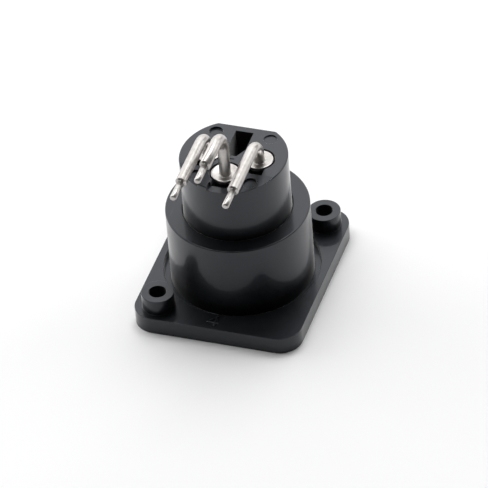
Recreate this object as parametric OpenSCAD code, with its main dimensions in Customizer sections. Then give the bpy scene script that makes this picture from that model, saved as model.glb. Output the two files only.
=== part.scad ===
// Three-pole panel-mount audio connector socket, male, with tails for a circuit board at right angles.
// Millimetres. The origin is the centre of the flange's front face, where it bears on the panel.
// +Z runs out of the back, -Y points to the circuit board, and the part stands on its front face.

/* [Node] */

// sub-part to build

/* [Flange] */

// flange width along X
flange_w = 26.4; // [25.5:0.1:28]
// flange length along Y
flange_l = 31; // [30.5:0.1:33]
// flange thickness
flange_t = 2.8; // [2.4:0.1:3.2]
// corner radius of the flange
corner_r = 3.5; // [2.5:0.1:4]

/* [Fixing bosses] */

// spacing of the two fixing holes along X
hole_pitch_x = 19; // [18.8:0.1:19.2]
// spacing of the two fixing holes along Y
hole_pitch_y = 24; // [23.8:0.1:24.2]
// fixing hole diameter, for a thread-forming screw
hole_d = 2.65; // [2.3:0.05:2.9]
// wall of the boss round its hole
boss_wall = 1.2; // [0.9:0.05:1.4]
// boss height above the flange's rear face
boss_h = 2.6; // [1.5:0.1:4]

/* [Barrel] */

// barrel diameter behind the flange
barrel_d = 22; // [21.6:0.1:22.6]
// rear end of the barrel above the front face
barrel_h = 14.6; // [13.8:0.1:16]
// rounding of the barrel's rear edge
barrel_edge = 0.2; // [0.1:0.05:0.6]
// width of the ring-shaped recess round the foot of the barrel
recess_w = 1.05; // [0.6:0.05:1.3]
// depth of that recess into the flange
recess_depth = 1; // [0.4:0.1:1.4]

/* [Mating cavity] */

// cavity diameter
cavity_d = 16; // [15.8:0.1:16.1]
// thickness of the barrel's rear wall, where the insert is seated
seat_wall = 1.8; // [1.2:0.1:2.4]
// lead-in at the mouth
mouth_lead = 0.5; // [0.2:0.1:0.8]
// width of the notch that a plug's latch drops into
latch_w = 4.6; // [3.6:0.1:5.4]
// depth of the latch notch into the cavity wall
latch_depth = 0.9; // [0.5:0.1:1.3]
// start of the latch notch behind the front face
latch_start = 3.4; // [3:0.1:4]
// length of the latch notch along the cavity
latch_len = 4; // [3:0.1:5]

/* [Insert] */

// diameter of the contact carrier
insert_d = 16.5; // [16.3:0.1:17]
// radial gap between the carrier and its seat in the barrel
insert_gap = 0.06; // [0.02:0.01:0.1]
// bevel at the rear edge of that seat
seat_lead = 0.15; // [0.05:0.05:0.3]
// rear face of the carrier above the barrel's rear end
insert_rise = 9.7; // [9:0.1:10.5]
// rounding of the carrier's rear rim
rim_edge = 0.22; // [0.1:0.02:0.3]
// distance of the flat on the +Y side from the axis
flat_y = 6.75; // [6.6:0.05:7.2]
// how far the rear face's sloping corners and its middle step lie lower at the rim
step_drop = 0.6; // [0.3:0.05:0.9]
// half the width of the web between the two sloping corners
web_half = 3.3; // [3.1:0.05:3.4]
// front limit of the raised face beside the outer contacts
step_y = 3.4; // [3.1:0.05:3.6]
// half the width of the middle step
mid_step_half = 1.7; // [1.5:0.05:1.9]
// front limit of the raised face before the middle contact
mid_step_y = 6.8; // [6.75:0.05:7]
// half the width of the slot near the flat
slot_half = 1.38; // [1.2:0.02:1.5]
// wide end of the slot
slot_far = 5.65; // [5.4:0.05:5.8]
// where the slot starts to narrow
slot_bend = 1.65; // [1.5:0.05:2.1]
// half the width of the slot at its narrow end
slot_tip_half = 0.46; // [0.2:0.02:0.6]
// narrow end of the slot
slot_tip = -0.1; // [-0.15:0.05:0.3]
// depth of the slot
slot_depth = 7.5; // [5:0.1:9]
// diameter of the moulding pin marks
mark_d = 2.1; // [1.8:0.05:2.2]
// depth of the moulding pin marks
mark_depth = 0.2; // [0.1:0.05:0.3]
// distance of the marks from the middle along X
mark_x = 4.3; // [4.25:0.05:4.6]
// distance of the marks on the sloping corners from the axis along Y
mark_front_y = 5.4; // [5.2:0.05:5.6]
// distance of the marks near the flat from the axis along Y
mark_back_y = 4.85; // [4.4:0.05:5]
// length of the short groove between the slot and the middle contact
groove_len = 0.8; // [0.6:0.05:1]
// width of that groove
groove_w = 0.16; // [0.1:0.02:0.2]
// depth of that groove
groove_depth = 0.2; // [0.1:0.05:0.3]
// distance of that groove from the axis, towards the middle contact
groove_y = 0.83; // [0.6:0.01:0.9]
// half the width of the relief in front of each collar
relief_half = 1.45; // [1.3:0.05:1.6]
// how far each relief opens into the slope or step before it
relief_open = 0.08; // [0.04:0.02:0.2]

/* [Contacts] */

// diameter of the circle the contacts stand on
pin_circle = 8.1; // [8.05:0.05:8.15]
// diameter of the mating pins
pin_d = 2.4; // [2.3:0.05:2.5]
// how far the pin tips stay behind the front face
pin_setback = 1.2; // [0.8:0.1:2]
// collar diameter, seen from the rear
collar_d = 4.3; // [4.1:0.05:4.4]
// collar thickness
collar_t = 0.6; // [0.5:0.05:0.8]
// depth of the conical dish in a collar's rear side
dish_depth = 0.25; // [0.1:0.05:0.35]
// width of the flat rim round that dish
dish_rim = 0.2; // [0.1:0.05:0.3]
// diameter of the post under each collar
post_d = 3.8; // [3.6:0.05:4]
// depth of the well round that post, below the rear face
well_depth = 1.6; // [1.2:0.1:2]
// radial gap between a collar and its counterbore
collar_gap = 0.3; // [0.15:0.05:0.35]
// diameter of the contact's shank inside the carrier
shank_d = 2.8; // [2.7:0.05:3]
// radial gap between a shank and its hole in the carrier
shank_gap = 0.03; // [0.02:0.01:0.06]
// diameter of the bent part
stem_d = 1.75; // [1.6:0.05:1.85]
// centreline bend radius of the contacts
bend_r = 3.1; // [2.6:0.1:3.4]
// tail height of the outer contacts above the carrier's rear face
tail_rise = 3.85; // [3.5:0.05:4.2]
// tail height of the middle contact above the carrier's rear face
mid_tail_rise = 7.9; // [7.6:0.05:8.4]
// distance of the tail shoulders from the axis, towards the board
shoulder_y = 12.15; // [11.8:0.05:12.6]
// diameter of the solder tips
tip_d = 1.05; // [0.9:0.05:1.15]
// length of the solder tips
tip_len = 3.85; // [3:0.05:4.5]
// bevel at the end of the solder tips
tip_bevel = 0.18; // [0.1:0.02:0.3]

/* [Hidden] */

$fn = 96;
eps = 0.01;
over = 1;
corner_x = flange_w / 2 - corner_r;
corner_y = flange_l / 2 - corner_r;
hole_x = hole_pitch_x / 2;
hole_y = hole_pitch_y / 2;
boss_d = hole_d + 2 * boss_wall;
barrel_r = barrel_d / 2;
recess_r = barrel_r + recess_w;
cavity_r = cavity_d / 2;
seat_z = barrel_h - seat_wall;
seat_r = insert_d / 2 + insert_gap;
insert_r = insert_d / 2;
insert_z = barrel_h + insert_rise;
low_z = insert_z - step_drop;
pin_r = pin_circle / 2;
collar_z = insert_z - collar_t;
well_z = insert_z - well_depth;
slope = atan(step_drop / (insert_r - step_y));
bore_r = collar_d / 2 + collar_gap;
relief_out = step_y + relief_open;
relief_mid = mid_step_y - pin_r + relief_open;

black = [0.045, 0.045, 0.05];
dark = [0.06, 0.06, 0.065];
silver = [0.86, 0.85, 0.82];

// flat plate with four round corners
module plate(w, l, r, t) {
    union() {
        translate([-w / 2, -l / 2 + r, 0]) cube([w, l - 2 * r, t]);
        translate([-w / 2 + r, -l / 2, 0]) cube([w - 2 * r, l, t]);
        for (x = [-1, 1], y = [-1, 1])
            translate([x * (w / 2 - r), y * (l / 2 - r), 0]) cylinder(r = r, h = t);
    }
}

// round bar with a rounded upper edge, standing on z = 0
module rounded_bar(r, h, e) {
    rotate_extrude() union() {
        square([r - e, h]);
        square([r, h - e]);
        translate([r - e, h - e]) intersection() {
            circle(r = e);
            square([e, e]);
        }
    }
}

// one-piece moulding: flange, barrel and the two bosses for the panel screws
module housing() {
    color(black) difference() {
        union() {
            difference() {
                plate(flange_w, flange_l, corner_r, flange_t);
                translate([0, 0, flange_t - recess_depth]) cylinder(r = recess_r, h = recess_depth + over);
            }
            rounded_bar(barrel_r, barrel_h, barrel_edge);
            translate([hole_x, hole_y, 0]) cylinder(d = boss_d, h = flange_t + boss_h);
            translate([-hole_x, -hole_y, 0]) cylinder(d = boss_d, h = flange_t + boss_h);
        }
        // cavity for the plug, and the wider seat of the contact carrier behind it
        translate([0, 0, -over]) cylinder(r = cavity_r, h = seat_z + 2 * over);
        translate([0, 0, seat_z]) cylinder(r = seat_r, h = seat_wall + over);
        translate([0, 0, -eps]) cylinder(r1 = cavity_r + mouth_lead + eps, r2 = cavity_r - eps,
            h = mouth_lead + 2 * eps);
        translate([0, 0, barrel_h - seat_lead - eps])
            cylinder(r1 = seat_r - eps, r2 = seat_r + seat_lead + eps, h = seat_lead + 2 * eps);
        // notch for the plug's latch
        translate([-latch_w / 2, 0, latch_start]) cube([latch_w, cavity_r + latch_depth, latch_len]);
        // screw holes, right through
        translate([hole_x, hole_y, -over]) cylinder(d = hole_d, h = flange_t + boss_h + 2 * over);
        translate([-hole_x, -hole_y, -over]) cylinder(d = hole_d, h = flange_t + boss_h + 2 * over);
    }
}

// well round one contact: a counterbore with a relief towards -Y round the post, and the through hole
module well(reach) {
    difference() {
        union() {
            translate([0, 0, well_z]) cylinder(r = bore_r, h = well_depth + over);
            translate([-relief_half, -reach, well_z]) cube([2 * relief_half, reach, well_depth + over]);
        }
        translate([0, 0, well_z - over]) cylinder(d = post_d, h = collar_z - well_z + over);
    }
    translate([0, 0, seat_z - over])
        cylinder(d = shank_d + 2 * shank_gap, h = collar_z - seat_z + 2 * over);
}

// moves its child onto the slope at the front of the rear face, with Y measured along the slope
module on_slope() {
    translate([0, -step_y, insert_z]) rotate([slope, 0, 0]) children();
}

// contact carrier: pressed into the barrel from the rear
module insert() {
    color(dark) difference() {
        translate([0, 0, seat_z]) rounded_bar(insert_r, insert_z - seat_z, rim_edge);
        // flat on the side away from the board, above the barrel
        translate([-insert_r, flat_y, barrel_h]) cube([2 * insert_r, insert_r, insert_rise + over]);
        // sloping corners and middle step of the rear face
        for (x = [web_half, -web_half - insert_r])
            on_slope() translate([x, -insert_r, 0]) cube([insert_r, insert_r, step_drop + over]);
        translate([-mid_step_half, -insert_r - over, low_z])
            cube([2 * mid_step_half, insert_r + over - mid_step_y, step_drop + over]);
        translate([pin_r, 0, 0]) well(relief_out);
        translate([-pin_r, 0, 0]) well(relief_out);
        translate([0, -pin_r, 0]) well(relief_mid);
        // deep slot between the contacts and the flat
        translate([0, 0, insert_z - slot_depth]) linear_extrude(slot_depth + over)
            polygon([[-slot_half, slot_far], [slot_half, slot_far], [slot_half, slot_bend],
                [slot_tip_half, slot_tip], [-slot_tip_half, slot_tip], [-slot_half, slot_bend]]);
        translate([-groove_len / 2, -groove_y - groove_w / 2, insert_z - groove_depth])
            cube([groove_len, groove_w, groove_depth + over]);
        // marks left by the moulding pins
        for (x = [-mark_x, mark_x]) {
            translate([x, mark_back_y, insert_z - mark_depth]) cylinder(d = mark_d, h = mark_depth + over);
            on_slope() translate([x, step_y - mark_front_y, -mark_depth])
                cylinder(d = mark_d, h = mark_depth + over);
        }
    }
}

// turned and bent pin, its axis on the local Z axis and its tail towards -Y at height z
module contact(z, reach) {
    ball_z = pin_setback + pin_d / 2;
    color(silver) union() {
        translate([0, 0, ball_z]) sphere(d = pin_d);
        translate([0, 0, ball_z]) cylinder(d = pin_d, h = collar_z - ball_z);
        translate([0, 0, seat_z]) cylinder(d = shank_d, h = collar_z - seat_z);
        difference() {
            translate([0, 0, collar_z]) cylinder(d = collar_d, h = collar_t);
            translate([0, 0, insert_z - dish_depth])
                cylinder(d1 = stem_d, d2 = collar_d - 2 * dish_rim, h = dish_depth + eps);
        }
        translate([0, 0, collar_z]) cylinder(d = stem_d, h = z - bend_r - collar_z);
        translate([0, -bend_r, z - bend_r]) rotate([90, 0, 90])
            rotate_extrude(angle = 90) translate([bend_r, 0]) circle(d = stem_d);
        translate([0, -bend_r, z]) rotate([90, 0, 0]) cylinder(d = stem_d, h = reach - bend_r);
        translate([0, -reach + over, z]) rotate([90, 0, 0])
            cylinder(d = tip_d, h = over + tip_len - tip_bevel);
        translate([0, -reach - tip_len + tip_bevel, z]) rotate([90, 0, 0])
            cylinder(d1 = tip_d, d2 = tip_d - 2 * tip_bevel, h = tip_bevel);
    }
}

module contact_1() {
    translate([pin_r, 0, 0]) contact(insert_z + tail_rise, shoulder_y);
}

module contact_2() {
    translate([-pin_r, 0, 0]) contact(insert_z + tail_rise, shoulder_y);
}

module contact_3() {
    translate([0, -pin_r, 0]) contact(insert_z + mid_tail_rise, shoulder_y - pin_r);
}

housing();
insert();
contact_1();
contact_2();
contact_3();
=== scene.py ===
import math
import bmesh
import bpy
from mathutils import Matrix, Vector


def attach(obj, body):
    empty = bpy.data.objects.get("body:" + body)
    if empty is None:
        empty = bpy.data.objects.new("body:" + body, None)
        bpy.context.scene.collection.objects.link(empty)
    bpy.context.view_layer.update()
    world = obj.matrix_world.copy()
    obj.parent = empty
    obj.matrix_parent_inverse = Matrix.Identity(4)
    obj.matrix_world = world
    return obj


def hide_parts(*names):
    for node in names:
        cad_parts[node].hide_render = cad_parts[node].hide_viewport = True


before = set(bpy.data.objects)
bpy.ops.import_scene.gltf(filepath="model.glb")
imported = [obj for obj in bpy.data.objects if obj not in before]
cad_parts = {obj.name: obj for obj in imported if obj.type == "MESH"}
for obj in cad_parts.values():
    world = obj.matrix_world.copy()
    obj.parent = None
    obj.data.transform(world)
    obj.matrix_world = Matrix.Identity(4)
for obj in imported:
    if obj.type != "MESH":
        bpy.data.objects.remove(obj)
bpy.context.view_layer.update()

mm = 0.001  # all sizes below are written in millimetres
over = 1.0  # how far a cutting tool reaches past the surface it cuts
tiny = 1e-6  # a smaller radius is a point on the axis
scene = bpy.context.scene


# Mesh helpers

def makeObject(name, bm):
    bmesh.ops.recalc_face_normals(bm, faces=bm.faces)
    mesh = bpy.data.meshes.new(name)
    bm.to_mesh(mesh)
    bm.free()
    obj = bpy.data.objects.new(name, mesh)
    scene.collection.objects.link(obj)
    return obj


def joinRings(bm, rings, steps):
    # skins a row of rings, where a ring of one vertex is a point on the axis
    for low, high in zip(rings, rings[1:]):
        for i in range(steps):
            j = (i + 1) % steps
            if len(low) == 1:
                bm.faces.new((low[0], high[j], high[i]))
            elif len(high) == 1:
                bm.faces.new((low[i], low[j], high[0]))
            else:
                bm.faces.new((low[i], low[j], high[j], high[i]))


def lathe(name, profile, steps, center=(0, 0)):
    # profile runs from axis to axis as (radius, height) and is spun into a closed solid
    bm = bmesh.new()
    rings = []
    for r, z in profile:
        if r < tiny:
            rings.append([bm.verts.new((center[0] * mm, center[1] * mm, z * mm))])
            continue
        ring = []
        for i in range(steps):
            a = 2 * math.pi * i / steps
            x = center[0] + r * math.cos(a)
            y = center[1] + r * math.sin(a)
            ring.append(bm.verts.new((x * mm, y * mm, z * mm)))
        rings.append(ring)
    joinRings(bm, rings, steps)
    return makeObject(name, bm)


def cylinder(name, r, z0, z1, steps, center=(0, 0)):
    return lathe(name, [(0, z0), (r, z0), (r, z1), (0, z1)], steps, center)


def prism(name, outline, z0, z1):
    bm = bmesh.new()
    low = [bm.verts.new((x * mm, y * mm, z0 * mm)) for x, y in outline]
    high = [bm.verts.new((x * mm, y * mm, z1 * mm)) for x, y in outline]
    bm.faces.new(low[::-1])
    bm.faces.new(high)
    for i in range(len(outline)):
        j = (i + 1) % len(outline)
        bm.faces.new((low[i], low[j], high[j], high[i]))
    return makeObject(name, bm)


def box(name, low, high):
    outline = [(low[0], low[1]), (high[0], low[1]), (high[0], high[1]), (low[0], high[1])]
    return prism(name, outline, low[2], high[2])


def roundedOutline(width, length, radius, steps=16):
    points = []
    for cx, cy, start in ((1, 1, 0), (-1, 1, 90), (-1, -1, 180), (1, -1, 270)):
        for i in range(steps + 1):
            a = math.radians(start + 90 * i / steps)
            points.append((cx * (width / 2 - radius) + radius * math.cos(a),
                           cy * (length / 2 - radius) + radius * math.sin(a)))
    return points


def quarterTurn(steps):
    # angles from 0 to 90 degrees
    return [math.radians(90 * i / steps) for i in range(steps + 1)]


def roundedRim(cx, cz, r, steps=6):
    # rounded outer edge of a lathe profile, from the side to the top
    return [(cx + r * math.cos(a), cz + r * math.sin(a)) for a in quarterTurn(steps)]


def applyAll(obj):
    bpy.context.view_layer.update()
    mesh = bpy.data.meshes.new_from_object(obj.evaluated_get(bpy.context.evaluated_depsgraph_get()))
    obj.modifiers.clear()
    old = obj.data
    obj.data = mesh
    bpy.data.meshes.remove(old)
    mesh.name = obj.name


def move(obj, place, tilt):
    # places a cutting tool, turned by tilt degrees about X first
    turn = Matrix.Rotation(math.radians(tilt), 4, "X")
    obj.data.transform(Matrix.Translation(Vector(place) * mm) @ turn)
    return obj


def combine(obj, tools, operation):
    for tool in tools:
        mod = obj.modifiers.new(operation.lower(), "BOOLEAN")
        mod.operation = operation
        mod.solver = "EXACT"
        mod.object = tool
    applyAll(obj)
    for tool in tools:
        bpy.data.objects.remove(tool)


# distances in millimetres, angles in degrees
edgeWork = dict(weld=0.006, collapse=0.003, flat=0.6, segments=2, hard=28, parallel=50)


def softenEdges(obj, width):
    # clears leftover cut lines, then breaks every hard edge
    bm = bmesh.new()
    bm.from_mesh(obj.data)
    bmesh.ops.remove_doubles(bm, verts=bm.verts, dist=edgeWork["weld"] * mm)
    bmesh.ops.dissolve_degenerate(bm, edges=bm.edges, dist=edgeWork["collapse"] * mm)
    flat = math.radians(edgeWork["flat"])
    bmesh.ops.dissolve_limit(bm, angle_limit=flat, verts=bm.verts, edges=bm.edges)
    bm.to_mesh(obj.data)
    bm.free()
    bevel = obj.modifiers.new("edges", "BEVEL")
    bevel.width = width * mm
    bevel.segments = edgeWork["segments"]
    bevel.limit_method = "ANGLE"
    bevel.angle_limit = math.radians(edgeWork["hard"])
    bevel.use_clamp_overlap = False
    for face in obj.data.polygons:
        face.use_smooth = True
    applyAll(obj)
    shadeByArea(obj.data)


def shadeByArea(mesh):
    # each corner takes the mean normal of its near-parallel faces, the large ones counting most
    around = [[] for vertex in mesh.vertices]
    for face in mesh.polygons:
        for index in face.vertices:
            around[index].append((face.normal.copy(), face.area))
    limit = math.cos(math.radians(edgeWork["parallel"]))
    normals = []
    for face in mesh.polygons:
        for index in face.vertices:
            mean = sum((n * area for n, area in around[index] if n.dot(face.normal) > limit), Vector())
            normals.append(mean.normalized() if mean.length > 0 else face.normal.copy())
    mesh.normals_split_custom_set(normals)


# Shader helpers

def nodeGroup(name, inputs, outputs):
    group = bpy.data.node_groups.new(name, "ShaderNodeTree")
    for label, value in inputs.items():
        socket = group.interface.new_socket(label, in_out="INPUT", socket_type="NodeSocketFloat")
        socket.default_value = value
    for label in outputs:
        group.interface.new_socket(label, in_out="OUTPUT", socket_type="NodeSocketFloat")
    return group, group.nodes.new("NodeGroupInput"), group.nodes.new("NodeGroupOutput")


def addNode(tree, kind, **settings):
    node = tree.nodes.new(kind)
    for key, value in settings.items():
        setattr(node, key, value)
    return node


def mathNode(tree, operation, a, b, clamp=False):
    node = addNode(tree, "ShaderNodeMath", operation=operation, use_clamp=clamp)
    for socket, value in zip(node.inputs, (a, b)):
        if isinstance(value, (int, float)):
            socket.default_value = value
        else:
            tree.links.new(value, socket)
    return node.outputs[0]


def scaled(tree, value, amount):
    return mathNode(tree, "MULTIPLY", value, amount)


def rangeNode(tree, value, fromMin, fromMax, toMin=0.0, toMax=1.0):
    node = addNode(tree, "ShaderNodeMapRange", clamp=True)
    tree.links.new(value, node.inputs["Value"])
    for label, number in (("From Min", fromMin), ("From Max", fromMax), ("To Min", toMin), ("To Max", toMax)):
        node.inputs[label].default_value = number
    return node.outputs["Result"]


def noiseNode(tree, vector, scale, detail, rough=0.5):
    node = addNode(tree, "ShaderNodeTexNoise")
    tree.links.new(vector, node.inputs["Vector"])
    tree.links.new(scale, node.inputs["Scale"])
    node.inputs["Detail"].default_value = detail
    node.inputs["Roughness"].default_value = rough
    return node.outputs["Fac"]


skinNoise = dict(fineDetail=3.0, fineRough=0.55, fineShare=0.7, broadDetail=4.0, broadRough=0.6,
                 broadShare=0.6, cloudLow=0.3, cloudHigh=0.7)


def makeSkinGroup(s):
    # uneven moulded skin: broad waves of sheen and a very fine texture
    group, given, result = nodeGroup(
        "mouldedSkin", {"Fine Scale": 9000.0, "Broad Scale": 260.0}, ("Height", "Cloud"))
    place = addNode(group, "ShaderNodeTexCoord").outputs["Object"]
    fine = noiseNode(group, place, given.outputs["Fine Scale"], s["fineDetail"], s["fineRough"])
    broad = noiseNode(group, place, given.outputs["Broad Scale"], s["broadDetail"], s["broadRough"])
    finePart = scaled(group, fine, s["fineShare"])
    height = mathNode(group, "ADD", finePart, scaled(group, broad, s["broadShare"]))
    group.links.new(height, result.inputs["Height"])
    group.links.new(rangeNode(group, broad, s["cloudLow"], s["cloudHigh"]), result.inputs["Cloud"])
    return group


def makeSpeckGroup():
    # lint and dust: a tiny pale grain in a few of the cells
    group, given, result = nodeGroup("lintSpecks", dict(Scale=900.0, Size=0.09, Share=0.62), ("Mask",))
    place = addNode(group, "ShaderNodeTexCoord")
    cells = addNode(group, "ShaderNodeTexVoronoi", feature="F1")
    group.links.new(place.outputs["Object"], cells.inputs["Vector"])
    group.links.new(given.outputs["Scale"], cells.inputs["Scale"])
    pick = addNode(group, "ShaderNodeSeparateColor")
    group.links.new(cells.outputs["Color"], pick.inputs[0])
    grain = mathNode(group, "LESS_THAN", cells.outputs["Distance"], given.outputs["Size"])
    chosen = mathNode(group, "GREATER_THAN", pick.outputs[0], given.outputs["Share"])
    group.links.new(mathNode(group, "MULTIPLY", grain, chosen), result.inputs["Mask"])
    return group


scratchNoise = dict(tilt=(0.3, 0.2), strokes=((0.6, 0.05), (-0.9, 0.07)), detail=2.0, fineness=6.0,
                    low=0.70, high=0.76)


def makeScratchGroup(s):
    # short fine handling marks in two directions, kept to some patches
    group, given, result = nodeGroup("handlingMarks", dict(Scale=420.0, Share=0.6), ("Mask",))
    place = addNode(group, "ShaderNodeTexCoord").outputs["Object"]
    fineScale = scaled(group, given.outputs["Scale"], s["fineness"])
    masks = []
    for turn, stretch in s["strokes"]:
        mapping = addNode(group, "ShaderNodeMapping")
        mapping.inputs["Rotation"].default_value = (*s["tilt"], turn)
        mapping.inputs["Scale"].default_value = (1.0, stretch, 1.0)
        group.links.new(place, mapping.inputs["Vector"])
        stroke = noiseNode(group, mapping.outputs[0], fineScale, s["detail"])
        masks.append(rangeNode(group, stroke, s["low"], s["high"]))
    patch = noiseNode(group, place, given.outputs["Scale"], s["detail"])
    where = mathNode(group, "GREATER_THAN", patch, given.outputs["Share"])
    both = mathNode(group, "MAXIMUM", *masks)
    group.links.new(mathNode(group, "MULTIPLY", both, where), result.inputs["Mask"])
    return group


skinGroup = makeSkinGroup(skinNoise)
speckGroup = makeSpeckGroup()
scratchGroup = makeScratchGroup(scratchNoise)


def useGroup(tree, group, **values):
    # an underscore in a value's name stands for the space in its label
    node = addNode(tree, "ShaderNodeGroup", node_tree=group)
    for key, value in values.items():
        node.inputs[key.replace("_", " ")].default_value = value
    return node


def colorMix(tree, factor, first, second):
    node = addNode(tree, "ShaderNodeMix", data_type="RGBA")
    tree.links.new(factor, node.inputs["Factor"])
    for label, value in (("A", first), ("B", second)):
        socket = [s for s in node.inputs if s.name == label and s.type == "RGBA"][0]
        if isinstance(value, tuple):
            socket.default_value = (*value, 1.0)
        else:
            tree.links.new(value, socket)
    return [s for s in node.outputs if s.type == "RGBA"][0]


def startMaterial(name, look):
    # what plastic and metal share: a cloudy colour and roughness with handling marks, and a fine bump
    mat = bpy.data.materials.new(name)
    mat.use_nodes = True
    tree = mat.node_tree
    skin = useGroup(tree, skinGroup, Fine_Scale=look["fineScale"], Broad_Scale=look["broadScale"])
    marks = useGroup(tree, scratchGroup, Scale=look["markScale"], Share=look["markShare"]).outputs["Mask"]
    base = colorMix(tree, skin.outputs["Cloud"], look["dark"], look["light"])
    color = colorMix(tree, scaled(tree, marks, look["markTint"]), base, look["rubbed"])
    cloudy = rangeNode(tree, skin.outputs["Cloud"], 0.0, 1.0, look["roughLow"], look["roughHigh"])
    rough = mathNode(tree, "ADD", cloudy, scaled(tree, marks, look["markRough"]))
    bump = addNode(tree, "ShaderNodeBump")
    bump.inputs["Strength"].default_value = look["bump"]
    bump.inputs["Distance"].default_value = look["bumpDepth"] * mm
    tree.links.new(skin.outputs["Height"], bump.inputs["Height"])
    tree.links.new(bump.outputs["Normal"], tree.nodes["Principled BSDF"].inputs["Normal"])
    return mat, color, rough, bump


def plasticMaterial(name, look):
    mat, color, rough, bump = startMaterial(name, look)
    tree = mat.node_tree
    shader = tree.nodes["Principled BSDF"]
    specks = useGroup(tree, speckGroup, Scale=look["speckScale"], Size=look["speckSize"],
                      Share=look["speckShare"]).outputs["Mask"]
    dusty = colorMix(tree, scaled(tree, specks, look["speckTint"]), color, look["dust"])
    dull = mathNode(tree, "ADD", rough, scaled(tree, specks, look["speckRough"]), clamp=True)
    tree.links.new(dusty, shader.inputs["Base Color"])
    tree.links.new(dull, shader.inputs["Roughness"])
    tree.links.new(bump.outputs["Normal"], shader.inputs["Coat Normal"])
    shader.inputs["IOR"].default_value = look["ior"]
    shader.inputs["Specular IOR Level"].default_value = look["specular"]
    shader.inputs["Specular Tint"].default_value = (*look["sheen"], 1.0)
    shader.inputs["Sheen Weight"].default_value = look["bloom"]
    shader.inputs["Sheen Roughness"].default_value = look["bloomRough"]
    shader.inputs["Coat Weight"].default_value = look["coat"]
    shader.inputs["Coat Roughness"].default_value = look["coatRough"]
    return mat


def metalMaterial(name, look):
    mat, color, rough, bump = startMaterial(name, look)
    tree = mat.node_tree
    shader = tree.nodes["Principled BSDF"]
    tree.links.new(color, shader.inputs["Base Color"])
    tree.links.new(rough, shader.inputs["Roughness"])
    shader.inputs["Metallic"].default_value = 1.0
    return mat


housingLook = dict(
    dark=(0.0022, 0.0027, 0.0034), light=(0.0045, 0.005, 0.0058), rubbed=(0.03, 0.03, 0.033),
    fineScale=7000.0, broadScale=210.0, bump=0.15, bumpDepth=0.008, roughLow=0.3, roughHigh=0.4,
    ior=1.5, specular=0.36, sheen=(0.8, 0.86, 1.0), bloom=0.6, bloomRough=0.25, coat=0.36, coatRough=0.09,
    dust=(0.5, 0.5, 0.5), speckScale=700.0, speckSize=0.075, speckShare=0.985, speckTint=0.75,
    speckRough=0.5, markScale=300.0, markShare=0.6, markTint=0.5, markRough=0.15)
insertLook = dict(
    housingLook, dark=(0.0035, 0.0038, 0.0045), light=(0.006, 0.0063, 0.007), fineScale=5200.0,
    broadScale=330.0, bump=0.2, bumpDepth=0.01, roughLow=0.34, roughHigh=0.44, specular=0.40, coat=0.40,
    coatRough=0.12, bloom=1.0)
contactLook = dict(
    dark=(0.42, 0.40, 0.385), light=(0.55, 0.53, 0.51), rubbed=(0.34, 0.32, 0.30),
    fineScale=6500.0, broadScale=1300.0, bump=0.2, bumpDepth=0.008, roughLow=0.27, roughHigh=0.37,
    markScale=700.0, markShare=0.5, markTint=0.5, markRough=0.18)

housingPlastic = plasticMaterial("blackHousingPlastic", housingLook)
insertPlastic = plasticMaterial("blackCarrierPlastic", insertLook)
contactSilver = metalMaterial("silverPlating", contactLook)
print("materials ready")


# Housing: flange, barrel and bosses in one moulding

housing = dict(
    width=26.4, length=31.0, thick=2.8, corner=3.5, barrelR=11.0, barrelTop=14.6, barrelEdge=0.2,
    barrelFoot=0.4, ringR=12.05, ringDepth=1.0, cavityR=8.0, seatZ=12.8, seatR=8.31, seatLead=0.15,
    mouthLead=0.5, holeX=9.5, holeY=12.0, holeR=1.325, bossR=2.525, bossTop=5.4, bossEdge=0.07,
    bossFoot=0.5, latch=((-2.3, 0.0, 3.4), (2.3, 8.9, 7.4)), edge=0.06,
    barrelSteps=192, ringSteps=160, bossSteps=72, bossRimSteps=4, holeSteps=56)


def buildHousing(h):
    body = prism("housingBody", roundedOutline(h["width"], h["length"], h["corner"]), 0, h["thick"])
    ring = cylinder("ring", h["ringR"], h["thick"] - h["ringDepth"], h["thick"] + over, h["ringSteps"])
    combine(body, [ring], "DIFFERENCE")
    r, z, e = h["barrelR"], h["barrelTop"], h["barrelEdge"]
    profile = [(0, h["barrelFoot"]), (r, h["barrelFoot"]), *roundedRim(r - e, z - e, e), (0, z)]
    barrel = lathe("barrel", profile, h["barrelSteps"])
    r, z, e = h["bossR"], h["bossTop"], h["bossEdge"]
    rim = roundedRim(r - e, z - e, e, h["bossRimSteps"])
    profile = [(0, h["bossFoot"]), (r, h["bossFoot"]), *rim, (0, z)]
    places = [(side * h["holeX"], side * h["holeY"]) for side in (1, -1)]
    bosses = [lathe("boss", profile, h["bossSteps"], place) for place in places]
    combine(body, [barrel, *bosses], "UNION")
    lead, seat, top = h["mouthLead"], h["seatLead"], h["barrelTop"]
    profile = [(0, -over), (h["cavityR"] + lead + over, -over), (h["cavityR"], lead),
               (h["cavityR"], h["seatZ"]), (h["seatR"], h["seatZ"]), (h["seatR"], top - seat),
               (h["seatR"] + seat + over / 2, top + over / 2), (0, top + over / 2)]
    cavity = lathe("cavity", profile, h["barrelSteps"])
    holes = [cylinder("hole", h["holeR"], -over, h["bossTop"] + over, h["holeSteps"], place)
             for place in places]
    combine(body, [cavity, box("latch", *h["latch"]), *holes], "DIFFERENCE")
    softenEdges(body, h["edge"])
    return body


numeral = dict(
    place=(-1.04, -14.68), rise=0.19, sink=0.1, line=0.28, edge=0.09,
    strokes=(((1.17, 0.0), (1.17, 1.95)), ((1.17, 1.95), (0.0, 0.58)), ((0.0, 0.58), (1.62, 0.58))))


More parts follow.
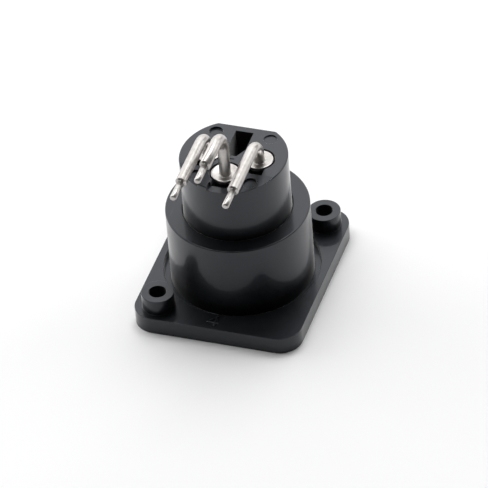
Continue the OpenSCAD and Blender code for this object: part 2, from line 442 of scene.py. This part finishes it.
def buildNumeral(n, z):
    # plain raised mould number on the rear of the flange
    parts = []
    for start, end in n["strokes"]:
        a, b = (Vector(p) + Vector(n["place"]) for p in (start, end))
        along = (b - a).normalized() * n["line"] / 2
        across = Vector((-along.y, along.x))
        outline = [a - along - across, b + along - across, b + along + across, a - along + across]
        parts.append(prism("stroke", outline, z - n["sink"], z + n["rise"]))
    body = parts.pop(0)
    body.name = "mouldNumber"
    combine(body, parts, "UNION")
    softenEdges(body, n["edge"])
    return body


housingBody = buildHousing(housing)
housingBody.data.materials.append(housingPlastic)
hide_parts("housing")
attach(housingBody, "root")
mouldNumber = buildNumeral(numeral, housing["thick"])
mouldNumber.data.materials.append(housingPlastic)
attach(mouldNumber, "root")
print("housing built,", len(housingBody.data.polygons), "faces")


# Contact carrier

carrier = dict(
    radius=8.25, low=12.8, top=24.3, step=0.6, rim=0.22, flatY=6.75, flatFrom=14.6,
    webHalf=3.3, slopeY=3.4, midHalf=1.7, midY=6.8, pinR=4.05, wellZ=22.7, boreR=2.45, postR=1.9,
    postTop=23.7, shankR=1.43, reliefHalf=1.45, reliefOut=3.48, reliefMid=2.83,
    slot=((-1.38, 5.65), (1.38, 5.65), (1.38, 1.65), (0.46, -0.1), (-0.46, -0.1), (-1.38, 1.65)),
    slotDepth=7.5, groove=((-0.4, -0.91), (0.4, -0.75)), grooveDepth=0.2,
    markX=4.3, markBack=4.85, markFront=5.4, markR=1.05, markDepth=0.2, markDeep=0.36, edge=0.04,
    bodySteps=192, boreSteps=96, postSteps=72, holeSteps=56)


def buildCarrier(c):
    r, e, top = c["radius"], c["rim"], c["top"]
    profile = [(0, c["low"]), (r, c["low"]), *roundedRim(r - e, top - e, e), (0, top)]
    body = lathe("carrierBody", profile, c["bodySteps"])
    low = top - c["step"]
    far = r + over
    slope = math.degrees(math.atan(c["step"] / (r - c["slopeY"])))
    start = (0, -c["slopeY"], top)  # upper end of the two sloping corners
    cuts = [box("flat", (-far, c["flatY"], c["flatFrom"]), (far, far, top + over)),
            move(box("slopeRight", (c["webHalf"], -far, 0), (far, 0, 2 * over)), start, slope),
            move(box("slopeLeft", (-far, -far, 0), (-c["webHalf"], 0, 2 * over)), start, slope),
            box("stepMid", (-c["midHalf"], -far, low), (c["midHalf"], -c["midY"], top + over))]
    combine(body, cuts, "DIFFERENCE")
    wells = ((c["pinR"], 0, c["reliefOut"]), (-c["pinR"], 0, c["reliefOut"]), (0, -c["pinR"], c["reliefMid"]))
    cuts, posts, holes = [], [], []
    for x, y, reach in wells:
        half = c["reliefHalf"]
        cuts.append(cylinder("bore", c["boreR"], c["wellZ"], top + over, c["boreSteps"], (x, y)))
        cuts.append(box("relief", (x - half, y - reach, c["wellZ"]), (x + half, y, top + over)))
        posts.append(cylinder("post", c["postR"], c["wellZ"] - over / 2, c["postTop"],
                              c["postSteps"], (x, y)))
        holes.append(cylinder("shankHole", c["shankR"], c["low"] - over, c["postTop"] + over / 2,
                              c["holeSteps"], (x, y)))
    combine(body, cuts, "DIFFERENCE")
    combine(body, posts, "UNION")
    (x0, y0), (x1, y1) = c["groove"]
    cuts = [*holes, prism("slot", c["slot"], top - c["slotDepth"], top + over),
            box("groove", (x0, y0, top - c["grooveDepth"]), (x1, y1, top + over))]
    for x, depth in ((-c["markX"], c["markDeep"]), (c["markX"], c["markDepth"])):
        cuts.append(cylinder("mark", c["markR"], top - depth, top + over, c["holeSteps"], (x, c["markBack"])))
        front = cylinder("mark", c["markR"], -c["markDeep"], over, c["holeSteps"],
                         (x, c["slopeY"] - c["markFront"]))
        cuts.append(move(front, start, slope))
    combine(body, cuts, "DIFFERENCE")
    softenEdges(body, c["edge"])
    return body


carrierBody = buildCarrier(carrier)
carrierBody.data.materials.append(insertPlastic)
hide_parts("insert")
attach(carrierBody, "root")
print("carrier built,", len(carrierBody.data.polygons), "faces")


# Contacts: each is one turned pin, bent to a tail

pin = dict(
    setback=1.2, pinR=1.2, seatZ=12.8, shankR=1.4, collarZ=23.7, collarR=2.15, top=24.3, edge=0.05,
    stemR=0.875, dishR=1.95, dishDepth=0.25, fillet=0.12, bend=3.1, shoulderY=12.15,
    tipR=0.525, tipLen=3.85, tipBevel=0.18, tipCorner=0.02, rootR=0.44, rootLen=0.22, rootEdge=0.06,
    outerRise=3.85, middleRise=7.9, spread=4.05, sharpAngle=32,
    steps=56, noseSteps=8, filletSteps=4, bendSteps=24)


def contactRings(p, rise, reach):
    # (centre y, centre z, tilt of the ring, radius) along the pin, from its mating end to the solder tip
    rings = []
    noseZ = p["setback"] + p["pinR"]
    for a in quarterTurn(p["noseSteps"]):
        rings.append((0, noseZ - p["pinR"] * math.cos(a), 0, p["pinR"] * math.sin(a)))
    b, collar, top = p["edge"], p["collarR"], p["top"]
    rings += [(0, p["seatZ"], 0, p["pinR"]), (0, p["seatZ"], 0, p["shankR"]),
              (0, p["collarZ"], 0, p["shankR"]), (0, p["collarZ"], 0, collar - b),
              (0, p["collarZ"] + b, 0, collar), (0, top - b, 0, collar),
              (0, top, 0, collar - b), (0, top, 0, p["dishR"])]
    foot, f = top - p["dishDepth"], p["fillet"]
    for a in quarterTurn(p["filletSteps"]):
        rings.append((0, foot + f * (1 - math.cos(a)), 0, p["stemR"] + f * (1 - math.sin(a))))
    z, bend = top + rise, p["bend"]
    for a in quarterTurn(p["bendSteps"]):
        rings.append((-bend + bend * math.cos(a), z - bend + bend * math.sin(a), a, p["stemR"]))
    q = math.radians(90)
    end = -reach - p["tipLen"]
    face = p["tipR"] - p["tipBevel"]
    rings += [(-reach + b, z, q, p["stemR"]), (-reach, z, q, p["stemR"] - b),
              (-reach, z, q, p["rootR"]), (-reach - p["rootLen"], z, q, p["rootR"]),
              (-reach - p["rootLen"] - p["rootEdge"], z, q, p["tipR"]),
              (end + p["tipBevel"], z, q, p["tipR"]),
              (end + b, z, q, face + b), (end, z, q, face - p["tipCorner"])]
    return rings


def buildContact(name, p, rise, place):
    bm = bmesh.new()
    steps = p["steps"]
    rings = []
    reach = p["shoulderY"] + place[1]
    for y, z, tilt, r in contactRings(p, rise, reach):
        center = Vector((place[0], place[1] + y, z))
        side = Vector((0, math.cos(tilt), math.sin(tilt)))
        if r < tiny:
            rings.append([bm.verts.new(center * mm)])
            continue
        rings.append([bm.verts.new((center + r * (math.cos(a) * Vector((1, 0, 0)) + math.sin(a) * side)) * mm)
                      for a in (2 * math.pi * i / steps for i in range(steps))])
    joinRings(bm, rings, steps)
    bm.faces.new(rings[-1])
    sharp = math.radians(p["sharpAngle"])
    for edge in bm.edges:
        edge.smooth = len(edge.link_faces) < 2 or edge.calc_face_angle(0) < sharp
    for face in bm.faces:
        face.smooth = True
    obj = makeObject(name, bm)
    weighted = obj.modifiers.new("normals", "WEIGHTED_NORMAL")
    weighted.keep_sharp = True
    applyAll(obj)
    return obj


for name, rise, place in (("contact_1", "outerRise", (pin["spread"], 0)),
                          ("contact_2", "outerRise", (-pin["spread"], 0)),
                          ("contact_3", "middleRise", (0, -pin["spread"]))):
    piece = buildContact(name + "_pin", pin, pin[rise], place)
    piece.data.materials.append(contactSilver)
    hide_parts(name)
    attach(piece, "root")
print("contacts built")


# Floor, light and camera

# the studio is in metres and degrees, and the softboxes face the part from one distance
studio = dict(
    floorColor=(0.93, 0.93, 0.935), floorRough=0.85, floorSpecular=0.1, floorSize=6.0,
    fill=0.11, distance=0.9,
    softboxes=(dict(name="backSoftbox", azimuth=112, height=24, wide=1.50, high=0.70, radiance=1.70),
               dict(name="rightSoftbox", azimuth=42, height=28, wide=0.5, high=0.6, radiance=2.0),
               dict(name="leftSoftbox", azimuth=174, height=20, wide=0.64, high=0.58, radiance=2.8),
               dict(name="keySoftbox", azimuth=80, height=61, wide=0.54, high=0.38, radiance=3.1),
               dict(name="topSoftbox", azimuth=140, height=72, wide=0.88, high=0.44, radiance=3.4)))

# the target and the distance are in millimetres, the focal length is in pixels of the picture
view = dict(
    azimuth=20.7492, elevation=40.5456, roll=-4.7631, distance=900.09, target=(-2.3166, 7.4633, 0.0),
    focal=5856.76, pictureWidth=488, sensor=36.0, clipEnd=10.0)


def buildFloor(s):
    half = s["floorSize"] / 2
    bm = bmesh.new()
    bm.faces.new([bm.verts.new((x * half, y * half, 0)) for x, y in ((-1, -1), (1, -1), (1, 1), (-1, 1))])
    floor = makeObject("floor", bm)
    mat = bpy.data.materials.new("paleFloor")
    mat.use_nodes = True
    shader = mat.node_tree.nodes["Principled BSDF"]
    shader.inputs["Base Color"].default_value = (*s["floorColor"], 1)
    shader.inputs["Roughness"].default_value = s["floorRough"]
    shader.inputs["Specular IOR Level"].default_value = s["floorSpecular"]
    floor.data.materials.append(mat)


def buildWorld(s):
    # the world fills the shadows a little, and only the camera sees it as white
    world = bpy.data.worlds.new("studioWorld")
    scene.world = world
    world.use_nodes = True
    tree = world.node_tree
    back = tree.nodes["Background"]
    back.inputs["Color"].default_value = (1, 1, 1, 1)
    path = addNode(tree, "ShaderNodeLightPath")
    strength = rangeNode(tree, path.outputs["Is Camera Ray"], 0.0, 1.0, s["fill"], 1.0)
    tree.links.new(strength, back.inputs["Strength"])


def buildSoftbox(s, distance):
    light = bpy.data.lights.new(s["name"], "AREA")
    light.shape = "RECTANGLE"
    light.size = s["wide"]
    light.size_y = s["high"]
    light.energy = s["radiance"] * math.pi * s["wide"] * s["high"]
    lamp = bpy.data.objects.new(s["name"], light)
    a, h = math.radians(s["azimuth"]), math.radians(s["height"])
    aim = Vector((math.cos(a) * math.cos(h), math.sin(a) * math.cos(h), math.sin(h)))
    lamp.location = aim * distance
    lamp.rotation_euler = aim.to_track_quat("Z", "Y").to_euler()
    scene.collection.objects.link(lamp)


def buildCamera(v):
    a, e, r = (math.radians(v[key]) for key in ("azimuth", "elevation", "roll"))
    back = Vector((math.sin(a) * math.cos(e), -math.cos(a) * math.cos(e), math.sin(e)))
    right = (-back).cross(Vector((0, 0, 1))).normalized()
    up = right.cross(-back)
    across = math.cos(r) * right + math.sin(r) * up
    upward = -math.sin(r) * right + math.cos(r) * up
    data = bpy.data.cameras.new("photoCamera")
    data.sensor_width = v["sensor"]
    data.lens = v["focal"] * v["sensor"] / v["pictureWidth"]
    data.clip_end = v["clipEnd"]
    camera = bpy.data.objects.new("photoCamera", data)
    turn = Matrix((across, upward, back)).transposed().to_4x4()
    camera.matrix_world = Matrix.Translation((Vector(v["target"]) + back * v["distance"]) * mm) @ turn
    scene.collection.objects.link(camera)
    scene.camera = camera


buildFloor(studio)
buildWorld(studio)
for softbox in studio["softboxes"]:
    buildSoftbox(softbox, studio["distance"])
buildCamera(view)
scene.view_settings.view_transform = "Standard"
print("studio ready")
